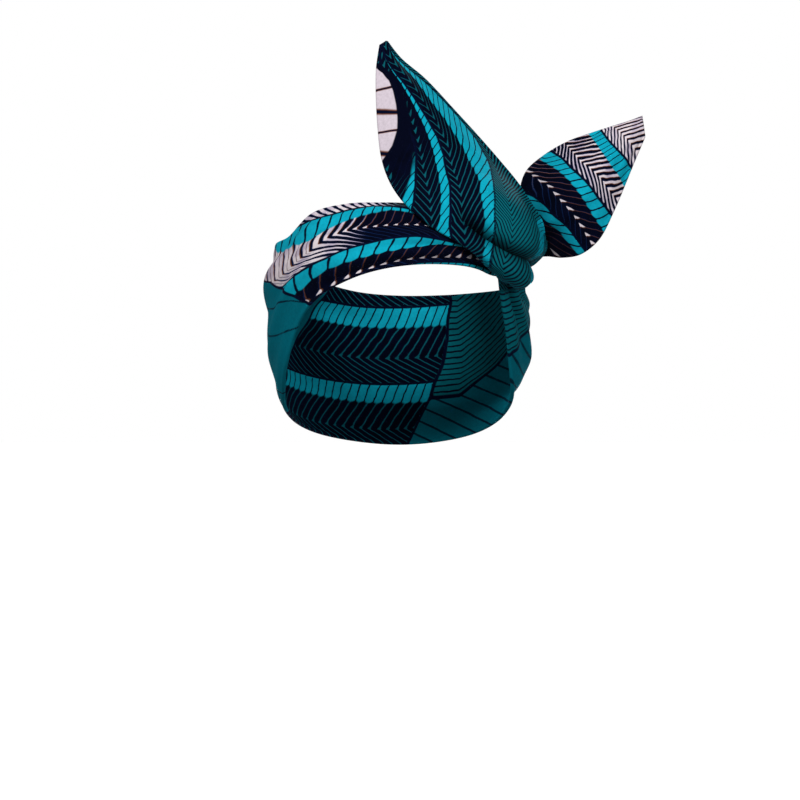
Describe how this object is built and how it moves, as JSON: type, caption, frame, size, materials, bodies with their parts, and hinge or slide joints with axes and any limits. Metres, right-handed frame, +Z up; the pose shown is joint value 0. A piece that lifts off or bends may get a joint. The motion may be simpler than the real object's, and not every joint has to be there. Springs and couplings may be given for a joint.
{
  "type": "cloth headband",
  "caption": "Long print-cotton strip wrapped round the head and crossed over one temple, its pointed ends standing up as a tall and a short tail.",
  "frame": {"origin": "the middle of the head where the band grips it, level with the temples", "axes": "+Z up, -Y to the wearer's front, +X to the wearer's left, where the knot is"},
  "size_m": [0.2335, 0.1951, 0.246],
  "materials": {
    "print_cotton": "plain-weave cotton with a dyed chevron-and-stripe print in teal, cyan, navy, black and cream, matt with a faint sheen"
  },
  "bodies": {
    "root": {"head_band": "print_cotton", "knot_turn": "print_cotton", "tall_tail": "print_cotton", "short_tail": "print_cotton"}
  },
  "joints": []
}
